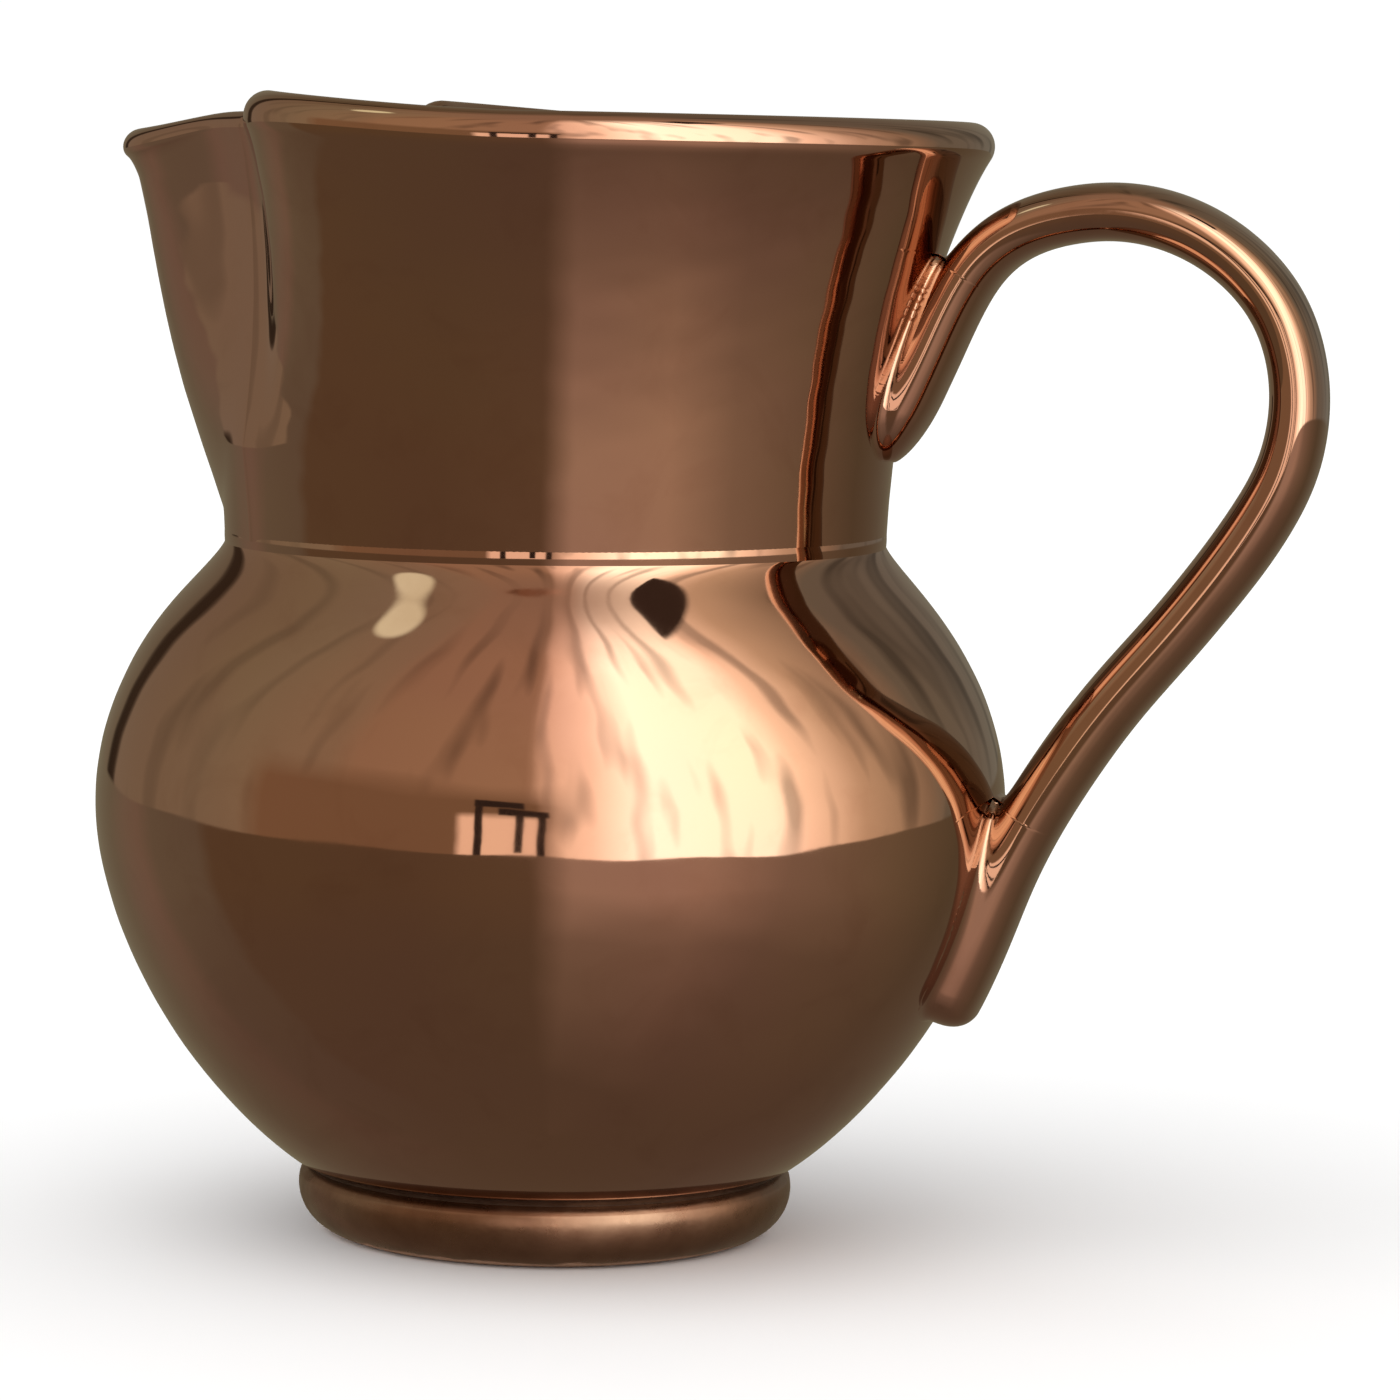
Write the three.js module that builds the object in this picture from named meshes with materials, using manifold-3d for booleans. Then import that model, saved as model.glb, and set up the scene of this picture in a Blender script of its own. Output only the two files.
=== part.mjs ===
// Copper-lustre milk jug in glazed earthenware: a round bowl on a foot ring, a flared collar with a
// rolled rim, a pulled pouring spout and a loop handle, luted together with slip at every joint.
// Millimetres, +Z up, standing on z = 0. The handle points along +X and the spout along -X.
import * as THREE from "three";
import { mergeVertices } from "three/addons/utils/BufferGeometryUtils.js";
import Module from "manifold-3d";

const wasm = await Module();
wasm.setup();

// ---- driving dimensions, radii measured from the jug's own axis ----
const FOOT_RADIUS = 28.8;
const FOOT_HEIGHT = 7.65;
const FOOT_BORE = 19.4;
const FOOT_EDGE = 5.3; // rounding of the foot's outer edge
const BOWL_RADIUS = 52.75;
const BOWL_WIDEST_Z = 50.4;
const BOWL_WALL = 3.6;
const CREASE_RADIUS = 29.6;
const BASE_THICKNESS = 5;
const WAIST_RADIUS = 38.3;
const WAIST_Z = 81.9;
const RIM_RADIUS = 46.9; // centre of the rolled rim
const RIM_Z = 127;
const RIM_ROLL = 2.8; // radius of the roll
const RIM_RISE = 2.1; // how far the rim climbs towards the spout
const COLLAR_WALL = 3.4;
const LIP_ROLL = 1.6; // radius of the thinner edge beside the spout
const TIP_ROLL = 2; // the same at the spout's point
const SPOUT_TIP = 50.3; // centre of the lip at the spout's point
const SPOUT_TIP_Z = 125.9;
const SPOUT_HALF_WIDTH = 25; // from the spout's centre line to the crease beside it
const SPOUT_FOOT_Z = 84; // where the spout starts above the waist
const PINCH_DEPTH = 9.6; // how far the wall is pushed in beside the spout, at the rim
const PINCH_SPREAD = THREE.MathUtils.degToRad(18);
const HANDLE_HALF_WIDTH = 7.2; // across the handle's plane
const HANDLE_HALF_THICKNESS = 3.25;
const GAP = 0.3; // clearance between neighbouring solids
const SLIP = 0.7; // thickness of a joint's layer of slip
const ROUND_SEGMENTS = 48;
const WALL_SEGMENTS = 64;

// middle (x, 0, z) and half sizes of the pads of slip round the handle's two ends
const UPPER_PAD = { centre: [40.2, 0, 99.4], size: [3.2, 8.9, 9] };
const LOWER_PAD = { centre: [49.6, 0, 36.4], size: [3.4, 9.3, 10] };

const HANDLE_CENTRE_LINE = [
  [33, 92],
  [36.5, 95.1],
  [40.1, 98.6],
  [42.8, 103.5],
  [45.8, 109],
  [49.1, 114.5],
  [54.2, 118.2],
  [64.3, 120.1],
  [72.3, 118.7],
  [79.1, 114.5],
  [83.8, 108.8],
  [86, 100.5],
  [85, 92],
  [81.9, 85.8],
  [73.6, 74.3],
  [64.2, 62.9],
  [56.9, 51.4],
  [53.3, 44],
  [50.6, 37.4],
  [47.6, 31.4],
];

// ---- small helpers ----
const { lerp, smoothstep, clamp } = THREE.MathUtils;

function bezier(...corners) {
  return new THREE.CubicBezierCurve(...corners.map(([r, z]) => new THREE.Vector2(r, z)));
}

// A point reached from (r, z) by going a length at an angle leaning outwards from straight up.
function step([r, z], length, lean) {
  const angle = THREE.MathUtils.degToRad(lean);
  return [r + length * Math.sin(angle), z + length * Math.cos(angle)];
}

// The radius of a rising curve at a height.
function radiusAt(curve, z) {
  let low = 0;
  let high = 1;
  for (let i = 0; i < 30; i++) {
    const middle = (low + high) / 2;
    if (curve.getPoint(middle).y < z) low = middle;
    else high = middle;
  }
  return curve.getPoint(low).x;
}

function solid(geometry) {
  const bare = geometry.clone();
  bare.deleteAttribute("normal");
  bare.deleteAttribute("uv");
  const merged = mergeVertices(bare, 1e-4);
  const triVerts = Uint32Array.from(merged.index.array);
  const vertProperties = Float32Array.from(merged.attributes.position.array);
  return new wasm.Manifold(new wasm.Mesh({ numProp: 3, vertProperties, triVerts }));
}

function geometryOf(manifold) {
  const mesh = manifold.getMesh();
  const geometry = new THREE.BufferGeometry();
  geometry.setAttribute("position", new THREE.BufferAttribute(mesh.vertProperties, 3));
  geometry.setIndex(new THREE.BufferAttribute(mesh.triVerts, 1));
  return geometry;
}

// A profile of (radius, height) points turned round the jug's axis.
function turned(points, segments = ROUND_SEGMENTS) {
  const profile = points.map((p) => (Array.isArray(p) ? new THREE.Vector2(...p) : p));
  return new THREE.LatheGeometry(profile, segments).rotateX(Math.PI / 2);
}

function closed(points) {
  return [...points, points[0]];
}

// ---- bowl and foot ----
const CREASE_Z = FOOT_HEIGHT + 1;
const bowlLower = bezier(
  [CREASE_RADIUS, CREASE_Z],
  step([CREASE_RADIUS, CREASE_Z], 12.7, 54.2),
  [BOWL_RADIUS, BOWL_WIDEST_Z - 16.2],
  [BOWL_RADIUS, BOWL_WIDEST_Z],
);
const bowlUpper = bezier(
  [BOWL_RADIUS, BOWL_WIDEST_Z],
  [BOWL_RADIUS, BOWL_WIDEST_Z + 19.1],
  [WAIST_RADIUS - 1.9, WAIST_Z - 1.8],
  [WAIST_RADIUS, WAIST_Z],
);

function bowlOutline(lowerSteps, upperSteps) {
  const topZ = WAIST_Z - SLIP / 2 - GAP;
  const upper = bowlUpper.getPoints(upperSteps).filter((p) => p.y < topZ - 0.2);
  return [...bowlLower.getPoints(lowerSteps), ...upper.slice(1), new THREE.Vector2(WAIST_RADIUS, topZ)];
}

// Every point of an open outline moved inwards, square to the outline.
function inset(outline, distance) {
  return outline.map((point, i) => {
    const before = outline[Math.max(i - 1, 0)];
    const after = outline[Math.min(i + 1, outline.length - 1)];
    const along = after.clone().sub(before).normalize();
    return new THREE.Vector2(point.x - along.y * distance, point.y + along.x * distance);
  });
}

function bowl() {
  const outside = bowlOutline(11, 10);
  const topZ = outside.at(-1).y;
  const inside = inset(outside, BOWL_WALL).reverse();
  inside[0].set(WAIST_RADIUS - BOWL_WALL, topZ);
  const baseZ = FOOT_HEIGHT / 2;
  return turned([
    [0, baseZ],
    [FOOT_BORE - GAP - 0.6, baseZ],
    [FOOT_BORE - GAP, baseZ + 0.6],
    [FOOT_BORE - GAP, CREASE_Z],
    ...outside,
    ...inside,
    [14, baseZ + BASE_THICKNESS + 0.9],
    [0, baseZ + BASE_THICKNESS],
  ]);
}

function footRing() {
  const edge = new THREE.Path();
  edge.absarc(FOOT_RADIUS - FOOT_EDGE, FOOT_EDGE, FOOT_EDGE, -Math.PI / 2, 0.24, false);
  const standing = FOOT_BORE + 1.2;
  return turned(
    closed([
      [standing, 0],
      ...edge.getPoints(7).map((p) => [p.x, p.y]),
      [FOOT_RADIUS - 0.9, FOOT_HEIGHT],
      [FOOT_BORE, FOOT_HEIGHT],
      [FOOT_BORE, 1.2],
    ]),
  );
}

// A washer of slip squeezed out a little at its outer edge.
function footSlipJoint() {
  const low = FOOT_HEIGHT + GAP;
  const high = CREASE_Z - GAP;
  return turned(
    closed([
      [FOOT_BORE, low],
      [FOOT_RADIUS - 0.9, low],
      [FOOT_RADIUS - 0.5, (low + high) / 2],
      [CREASE_RADIUS - 0.6, high],
      [FOOT_BORE, high],
    ]),
  );
}

function waistSlipJoint() {
  const low = WAIST_Z - SLIP / 2;
  const high = WAIST_Z + SLIP / 2;
  const inner = WAIST_RADIUS - COLLAR_WALL;
  return turned(
    closed([
      [inner, low],
      [WAIST_RADIUS + 0.1, low],
      [WAIST_RADIUS + 0.2, WAIST_Z],
      [WAIST_RADIUS + 0.1, high],
      [inner, high],
    ]),
  );
}

// ---- wall of the collar and spout ----
const ROLL_LEAN = 31.2; // lean of the collar where it runs into the rolled rim
const collarFace = bezier(
  [WAIST_RADIUS, WAIST_Z],
  step([WAIST_RADIUS, WAIST_Z], 18, 2),
  step([RIM_RADIUS + 2.43, RIM_Z - 1.47], -8.7, ROLL_LEAN),
  [RIM_RADIUS + 2.43, RIM_Z - 1.47],
);
const keelFace = bezier([WAIST_RADIUS, WAIST_Z + 0.6], [44.2, 93.8], [47, 108.2], [49.7, RIM_Z]);

// Height-dependent half of the wall: its middle line on the collar and on the spout's keel.
function collarMiddle(z) {
  const wallTop = RIM_Z - 7;
  const below = radiusAt(collarFace, Math.min(z, wallTop)) - COLLAR_WALL / 2;
  return lerp(below, RIM_RADIUS, clamp((z - wallTop) / (RIM_Z - wallTop), 0, 1));
}

function keelMiddle(z) {
  return Math.max(radiusAt(keelFace, z) - COLLAR_WALL / 2, collarMiddle(z));
}

// How much of the pinch there is at a height: none low on the collar, all of it at the rim.
function pinchAt(z) {
  const share = clamp((z - 93) / (RIM_Z - 93), 0, 1);
  return PINCH_DEPTH * share ** 1.5;
}

function noseRadiusAt(z) {
  const share = clamp((z - WAIST_Z) / (RIM_Z - WAIST_Z), 0, 1);
  return lerp(24, 5.5, share ** 0.45);
}

// Plan of the spout at one height: a rounded V, written as a hyperbola through its point (the keel)
// and its crease, and carried on past the crease as a falling line.
function spoutPlan(z) {
  const keel = keelMiddle(z);
  const creaseRadius = collarMiddle(z) - pinchAt(z);
  const half = SPOUT_HALF_WIDTH - 1;
  const creaseAngle = Math.asin(half / creaseRadius);
  const depth = keel - creaseRadius * Math.cos(creaseAngle);
  const nose = Math.min(noseRadiusAt(z), (0.46 * half * half) / depth);
  const rounding = (nose * depth * depth) / (half * half - 2 * nose * depth);
  const slope = Math.sqrt(rounding / nose);
  const reach = keel + rounding;
  const radius = (angle) => {
    const along = Math.cos(angle) * reach;
    const spread = Math.cos(angle) ** 2 - slope ** 2 * Math.sin(angle) ** 2;
    const rest = reach ** 2 - rounding ** 2;
    return rest / (along + Math.sqrt(along ** 2 - spread * rest));
  };
  return { creaseAngle, creaseRadius, radius };
}

const planCache = new Map();
function planAt(z) {
  const key = z.toFixed(3);
  if (!planCache.has(key)) planCache.set(key, spoutPlan(z));
  return planCache.get(key);
}

// Radius of the wall's middle line at an angle from the spout's centre line and a height.
function middleRadius(angle, z) {
  const plan = planAt(z);
  const past = Math.max(angle - plan.creaseAngle, 0);
  const collar = collarMiddle(z) - pinchAt(z) * Math.exp(-((past / PINCH_SPREAD) ** 2));
  const spout = plan.radius(Math.min(angle, plan.creaseAngle)) - past * 9;
  const blend = 0.2 + 0.16 * pinchAt(z);
  return (collar + spout + Math.hypot(collar - spout, blend)) / 2;
}

// A point on the wall, a distance out from its middle line, square to the line in plan.
function wallPoint(angle, z, out) {
  const height = Math.min(z, RIM_Z);
  const place = (a) => {
    const radius = middleRadius(Math.abs(a), height);
    return new THREE.Vector2(-radius * Math.cos(a), radius * Math.sin(a));
  };
  const tangent = place(angle + 0.01).sub(place(angle - 0.01)).normalize();
  return place(angle).add(new THREE.Vector2(-tangent.y, tangent.x).multiplyScalar(out));
}

// Section of the wall: up the outside, over a rolled edge, and down the inside.
function wallSection(roll, edgeRadius, edgeZ, bottomZ) {
  const lean = THREE.MathUtils.degToRad(ROLL_LEAN);
  const outerEnd = [edgeRadius + roll * Math.cos(lean), edgeZ - roll * Math.sin(lean)];
  const outer = bezier(
    [radiusAt(collarFace, bottomZ), bottomZ],
    step([WAIST_RADIUS, WAIST_Z], 18, 2),
    step(outerEnd, -8.7, ROLL_LEAN),
    outerEnd,
  );
  const arc = new THREE.Path();
  arc.absarc(edgeRadius, edgeZ, roll, -lean, THREE.MathUtils.degToRad(165), false);
  const innerStart = arc.getPoint(1);
  const inner = bezier(
    [innerStart.x, innerStart.y],
    [innerStart.x - 4.4, innerStart.y - 13],
    [WAIST_RADIUS - COLLAR_WALL + 0.4, WAIST_Z + 18],
    [WAIST_RADIUS - COLLAR_WALL, bottomZ],
  );
  return [...outer.getPoints(9), ...arc.getPoints(7).slice(1), ...inner.getPoints(8).slice(1)];
}

// The whole wall, collar and spout together, before the notch parts them.
function wallSolid() {
  const bottomZ = WAIST_Z + SLIP / 2 + GAP;
  const collarSection = closed(wallSection(RIM_ROLL, RIM_RADIUS, RIM_Z, bottomZ));
  const creaseSection = closed(wallSection(LIP_ROLL, RIM_RADIUS, RIM_Z, bottomZ));
  const tipShift = SPOUT_TIP - (keelMiddle(RIM_Z) - collarMiddle(RIM_Z)) - RIM_RADIUS;
  const tipSection = closed(wallSection(TIP_ROLL, RIM_RADIUS + tipShift, SPOUT_TIP_Z - RIM_RISE, bottomZ));
  const geometry = turned(collarSection, WALL_SEGMENTS);
  const position = geometry.attributes.position;
  const creaseAngle = planAt(RIM_Z).creaseAngle;
  for (let i = 0; i < position.count; i++) {
    const angle = Math.atan2(position.getY(i), -position.getX(i));
    const turn = Math.abs(angle);
    const j = i % collarSection.length;
    const toCollar = smoothstep(turn, creaseAngle, creaseAngle + 0.38);
    const toTip = Math.cos((Math.PI / 2) * Math.min(turn / creaseAngle, 1)) ** 2;
    const point = collarSection[j].clone();
    point.lerp(creaseSection[j], 1 - toCollar).lerp(tipSection[j], toTip);
    const climb = smoothstep(point.y, WAIST_Z + 15, RIM_Z);
    const rise = RIM_RISE * climb * (1 - smoothstep(turn, 0.85, 1.75));
    const out = point.x - collarMiddle(point.y);
    const place = wallPoint(angle, point.y, out);
    position.setXYZ(i, place.x, place.y, point.y + rise);
  }
  return solid(geometry);
}

// A bar with a round bottom, lying along X: the shape of the notch that the spout is let into.
function notchBar(grow) {
  const half = SPOUT_HALF_WIDTH + grow;
  const centreZ = SPOUT_FOOT_Z + SPOUT_HALF_WIDTH;
  const outline = new THREE.Shape();
  outline.moveTo(half, RIM_Z + 20);
  outline.lineTo(-half, RIM_Z + 20);
  outline.lineTo(-half, centreZ);
  outline.absarc(0, centreZ, half, Math.PI, 2 * Math.PI, false);
  const bar = new THREE.ExtrudeGeometry(outline, { depth: 80, bevelEnabled: false, curveSegments: 16 });
  bar.applyMatrix4(new THREE.Matrix4().makeBasis(
    new THREE.Vector3(0, 1, 0),
    new THREE.Vector3(0, 0, 1),
    new THREE.Vector3(1, 0, 0),
  ));
  return solid(bar.translate(-80, 0, 0));
}

// ---- handle ----
function handleCurve() {
  return new THREE.CatmullRomCurve3(
    HANDLE_CENTRE_LINE.map(([x, z]) => new THREE.Vector3(x, 0, z)),
    false,
    "centripetal",
  );
}

// The handle's strap with its rounded lower end, grown all round by a distance.
function handleStrap(grow) {
  const width = HANDLE_HALF_WIDTH + grow;
  const thickness = HANDLE_HALF_THICKNESS + grow;
  const section = new THREE.Shape();
  section.absellipse(0, 0, width, thickness, 0, 2 * Math.PI, false, 0);
  const strap = new THREE.ExtrudeGeometry(section, {
    steps: 46,
    curveSegments: 8,
    bevelEnabled: false,
    extrudePath: handleCurve(),
  });
  const [endX, endZ] = HANDLE_CENTRE_LINE.at(-1);
  const end = new THREE.SphereGeometry(1, 16, 10).scale(thickness, width, thickness).translate(endX, 0, endZ);
  return solid(strap).add(solid(end));
}

// The jug's outside without its hollow, a little larger, for trimming the handle against.
function bodyBlank(grow) {
  const collar = collarFace.getPoints(12).map((p) => [p.x + grow, p.y]);
  const belly = bowlOutline(11, 10).map((p) => [p.x + grow, p.y]);
  return solid(turned([[0, 5], ...belly, ...collar, [0, collar.at(-1)[1]]]));
}

// Slip smoothed round the end of the handle, where it meets the body.
function handleSlipJoint({ centre, size }) {
  const pad = new THREE.SphereGeometry(1, 16, 10).scale(...size).translate(...centre);
  return solid(pad).subtract(handleStrap(GAP)).subtract(bodyBlank(GAP)).decompose();
}

// The largest of the separate pieces that a cut leaves.
function largest(pieces) {
  return pieces.reduce((best, piece) => (piece.volume() > best.volume() ? piece : best));
}

// ---- finishes and assembly ----
const lustre = () => new THREE.MeshStandardMaterial({ color: 0xa8663f, metalness: 0.9, roughness: 0.08 });
const satinLustre = () => new THREE.MeshStandardMaterial({ color: 0x9c6142, metalness: 0.8, roughness: 0.3 });
const slipLustre = () => new THREE.MeshStandardMaterial({ color: 0xa1623e, metalness: 0.9, roughness: 0.12 });

function piece(name, geometry, material) {
  const mesh = new THREE.Mesh(geometry, material);
  mesh.name = name;
  return mesh;
}

const wall = wallSolid();
const cleared = SLIP / 2 + GAP;
const collar = wall.subtract(notchBar(cleared));
const spout = largest(wall.intersect(notchBar(-cleared)).decompose());
const spoutSlip = largest(wall.intersect(notchBar(SLIP / 2)).subtract(notchBar(-SLIP / 2)).decompose());
const handle = largest(handleStrap(0).subtract(bodyBlank(GAP)).decompose());
const upperSlip = largest(handleSlipJoint(UPPER_PAD));
const lowerSlip = largest(handleSlipJoint(LOWER_PAD));

const pieces = [
  piece("foot_ring", footRing(), satinLustre()),
  piece("foot_slip_joint", footSlipJoint(), slipLustre()),
  piece("bowl", bowl(), lustre()),
  piece("waist_slip_joint", waistSlipJoint(), slipLustre()),
  piece("collar", geometryOf(collar), lustre()),
  piece("spout", geometryOf(spout), lustre()),
  piece("spout_slip_joint", geometryOf(spoutSlip), slipLustre()),
  piece("handle", geometryOf(handle), lustre()),
  piece("handle_upper_slip_joint", geometryOf(upperSlip), slipLustre()),
  piece("handle_lower_slip_joint", geometryOf(lowerSlip), slipLustre()),
];

// The jug is set so that the middle of its box is over the origin.
const jug = new THREE.Group();
jug.add(...pieces);
const box = new THREE.Box3().setFromObject(jug, true);
jug.position.x = -(box.min.x + box.max.x) / 2;

export default jug;
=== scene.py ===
import math

import bpy
import numpy as np
from mathutils import Matrix, Vector


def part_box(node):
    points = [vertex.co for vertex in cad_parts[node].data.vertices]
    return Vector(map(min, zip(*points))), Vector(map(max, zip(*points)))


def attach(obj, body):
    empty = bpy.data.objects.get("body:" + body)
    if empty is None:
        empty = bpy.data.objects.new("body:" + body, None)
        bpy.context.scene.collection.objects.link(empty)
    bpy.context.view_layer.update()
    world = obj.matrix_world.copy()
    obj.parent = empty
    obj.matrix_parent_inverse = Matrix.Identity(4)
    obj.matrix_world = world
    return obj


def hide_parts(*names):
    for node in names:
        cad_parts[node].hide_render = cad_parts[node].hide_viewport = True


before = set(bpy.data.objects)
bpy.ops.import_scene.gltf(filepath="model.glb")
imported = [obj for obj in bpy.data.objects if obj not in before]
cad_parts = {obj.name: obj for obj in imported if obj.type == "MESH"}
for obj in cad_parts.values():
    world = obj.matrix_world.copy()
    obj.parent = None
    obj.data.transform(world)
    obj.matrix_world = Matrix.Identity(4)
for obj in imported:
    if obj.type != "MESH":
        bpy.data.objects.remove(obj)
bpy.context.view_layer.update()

# Copper-lustre milk jug. Lengths are millimetres measured from the jug's own turning axis, and
# become metres in the shared frame when a mesh is made. The spout points along -X.
MM = 0.001


def middle_of(node, axis):
    low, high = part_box(node)
    return (low[axis] + high[axis]) / 2


AXIS_X = middle_of("bowl", 0)
AXIS_Y = middle_of("bowl", 1)

# ---- driving dimensions ----
FOOT_LOW, FOOT_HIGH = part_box("foot_ring")
BOWL_LOW, BOWL_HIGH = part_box("bowl")
FOOT_RADIUS = (FOOT_HIGH[0] - FOOT_LOW[0]) / 2 / MM
FOOT_HEIGHT = FOOT_HIGH[2] / MM
FOOT_BORE = 19.4
FOOT_EDGE = 5.3
BOWL_RADIUS = (BOWL_HIGH[1] - BOWL_LOW[1]) / 2 / MM
BOWL_WIDEST_Z = 50.4
BOWL_WALL = 3.6
CREASE = (29.6, FOOT_HEIGHT + 1)
BASE_LOW_Z = BOWL_LOW[2] / MM
BASE_THICKNESS = 5
WAIST = (38.3, middle_of("waist_slip_joint", 2) / MM)
RIM_RADIUS = 46.9  # centre of the rolled rim
RIM_Z = 127
RIM_FACE = (RIM_RADIUS + 2.43, RIM_Z - 1.47)  # where the collar's outside meets the roll
COLLAR_START = (18, 2)  # how far and with what lean the collar's curve leaves the waist
ROLL_CURL = 8.7  # how far below the roll the collar's curve starts to lean out
RIM_ROLL = 2.75  # radius of the rolled rim
RIM_RISE = 1.85  # how far the rim climbs towards the spout
COLLAR_WALL = 3.4
LIP_ROLL = 1.35  # radius of the thinner edge beside the spout
TIP_ROLL = 1.7  # the same at the spout's point
TIP_LEAN = 58.0  # how the lip leans out where it runs into its edge
TIP_CURL = 3.6  # the same reach as ROLL_CURL, at the spout's point
LIP_DROP = 0.9  # how much lower the edge is beside the spout's crease than on the rim
SPOUT_TIP = 50.3  # centre of the lip at the spout's point
SPOUT_TIP_Z = 125.5
SPOUT_HALF_WIDTH = 24  # from the spout's centre line to the crease beside it
PINCH_DEPTH = 9.6  # how far the wall is pushed in beside the spout, at the rim
PINCH_LOW_Z = 92  # where the push starts
PINCH_GROWTH = 1.1
PINCH_SPREAD = math.radians(18)
NOSE_RADII = (24, 5.5)  # of the spout's point in plan, at the waist and at the rim
NOSE_GROWTH = 0.45
NOSE_LIMIT = 0.46
SPOUT_FALL = 9  # how fast the spout's side runs on inwards past the crease, per radian
CREASE_SOFTNESS = 0.2  # least rounding of the crease
CREASE_SPREAD = 0.24  # more rounding where the wall is pushed in
ROLL_LEAN = 31.2  # lean of the collar where it runs into the rolled rim
HIDDEN = 0.03  # how far under a surface a joined piece's edge ends
ROOT_DEPTH = 1.2  # how far the handle's roots reach into the wall
# points up the outside of the wall, over its edge and down its inside
OUTER_POINTS, EDGE_POINTS, INNER_POINTS = 90, 40, 60
EDGE_TOP = 109  # the point on top of the edge
LUSTRE_END = 118  # the point where the inside's glaze takes over
WALL_COLUMNS = 560  # points round the wall

# (height of the wave, waves round the jug, climb from wave to wave, phase)
THROWING_WAVES = (
    (0.050, 2, 61, 0.4),
    (0.034, -3, 37, 2.1),
    (0.022, 4, 23, 4.0),
    (0.011, -7, 12.5, 1.2),
    (0.0060, 11, 7.3, 5.1),
    (0.0042, -13, 5.2, 0.9),
    (0.0030, 19, 4.1, 3.3),
)

# ripples that fingers left beside the spout: their height, how far round they lie and spread
PULLED_RIPPLE = 0.009
PULLED_PLACE = 1.15
PULLED_SPREAD = 0.3

# how far the waist has settled: in the middle, more under the spout, and over what height
SETTLED = 0.62
SETTLED_TILT = 0.33
SETTLED_SPREAD = 8.5

HANDLE_LINE = [
    (39.0, 91.2),
    (39.6, 93.2),
    (40.5, 95.8),
    (41.9, 99.0),
    (43.9, 103.4),
    (46.2, 108.8),
    (49.4, 114.3),
    (54.3, 118),
    (64.3, 120.1),
    (72.4, 118.6),
    (79.2, 114.5),
    (83.8, 108.8),
    (86.0, 100.5),
    (85.0, 92),
    (81.9, 85.8),
    (73.7, 74.3),
    (64.5, 62.9),
    (57.1, 51.4),
    (53.4, 44),
    (50.9, 37.6),
    (48.3, 31.6),
    (46.0, 27.2),
]
# share of the handle's length, half thickness in its plane, half width across it
HANDLE_SECTION = (
    (0, 3.15, 7.0),
    (0.12, 3.15, 7.0),
    (0.3, 3.35, 7.0),
    (0.45, 3.15, 7.1),
    (0.58, 3.58, 7.1),
    (0.7, 3.58, 7.1),
    (0.86, 3.7, 7.2),
    (0.94, 3.9, 7.8),
    (1, 4.1, 8.2),
)
# lengths over which the two ends round off: in the handle's plane, and across it
UPPER_ROUNDING = (9.0, 6.5)
LOWER_ROUNDING = (2.8, 5.0)
ROOT_FILLET = 3.6
STRAP_POWER = 2.4  # 2 is an ellipse, more is a strap with flatter sides
HANDLE_STEPS = 1200  # even steps along the handle's line, before its rings are placed
HANDLE_RINGS, HANDLE_SIDES = 640, 136
LINE_SOFTENING = 2.4  # length over which the line's curvature is evened out
SECTION_SOFTENING = 30  # steps over which the section's changes are evened out
LEAST_RADIUS = 0.02


# ---- curves ----
def bezier(corners, count):
    t = np.linspace(0, 1, count)[:, None]
    a, b, c, d = (np.array(corner, float) for corner in corners)
    return a * (1 - t) ** 3 + 3 * b * t * (1 - t) ** 2 + 3 * c * t**2 * (1 - t) + d * t**3


def step(point, length, lean):
    """A point reached by going a length at a lean outwards from straight up, in degrees."""
    angle = math.radians(lean)
    return (point[0] + length * math.sin(angle), point[1] + length * math.cos(angle))


def arc(centre, radius, start, end, count):
    angles = np.radians(np.linspace(start, end, count))
    return np.array(centre) + radius * np.column_stack([np.cos(angles), np.sin(angles)])


def smooth(value, low, high):
    share = np.clip((value - low) / (high - low), 0, 1)
    return share * share * (3 - 2 * share)


def mix(a, b, share):
    return a + (b - a) * share


def throwing_waves(angle, z):
    total = np.zeros(np.broadcast(angle, z).shape)
    for height, turns, climb, phase in THROWING_WAVES:
        total = total + height * np.cos(turns * angle + 2 * math.pi * z / climb + phase)
    return total


# ---- bowl outline ----
BOWL_LOWER = bezier(
    [
        CREASE,
        step(CREASE, 13.4, 54.6),
        (BOWL_RADIUS, BOWL_WIDEST_Z - 16.8),
        (BOWL_RADIUS, BOWL_WIDEST_Z),
    ],
    90,
)
BOWL_UPPER = bezier(
    [
        (BOWL_RADIUS, BOWL_WIDEST_Z),
        (BOWL_RADIUS, BOWL_WIDEST_Z + 19.1),
        (WAIST[0] - 1.9, WAIST[1] - 1.8),
        WAIST,
    ],
    80,
)
COLLAR_FACE = bezier(
    [
        WAIST,
        step(WAIST, *COLLAR_START),
        step(RIM_FACE, -ROLL_CURL, ROLL_LEAN),
        RIM_FACE,
    ],
    400,
)
KEEL_FACE = bezier([(WAIST[0], WAIST[1] + 0.6), (44.4, 93.8), (48.1, 108.2), (49.7, RIM_Z)], 400)


def inset(outline, distance):
    """An open outline moved inwards, square to itself."""
    along = np.gradient(outline, axis=0)
    along /= np.linalg.norm(along, axis=1)[:, None]
    return outline + distance * np.column_stack([-along[:, 1], along[:, 0]])


# ---- meshes ----
def in_frame(points):
    """Millimetres from the jug's axis to metres in the shared frame.

    The waist has settled a little, more under the spout than under the handle.
    """
    points = np.array(points, float)
    near = np.exp(-(((points[:, 2] - WAIST[1] + 1) / SETTLED_SPREAD) ** 2))
    points[:, 2] -= near * (SETTLED - SETTLED_TILT * np.clip(points[:, 0] / WAIST[0], -1, 1))
    return points * MM + np.array([AXIS_X, AXIS_Y, 0])


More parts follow.
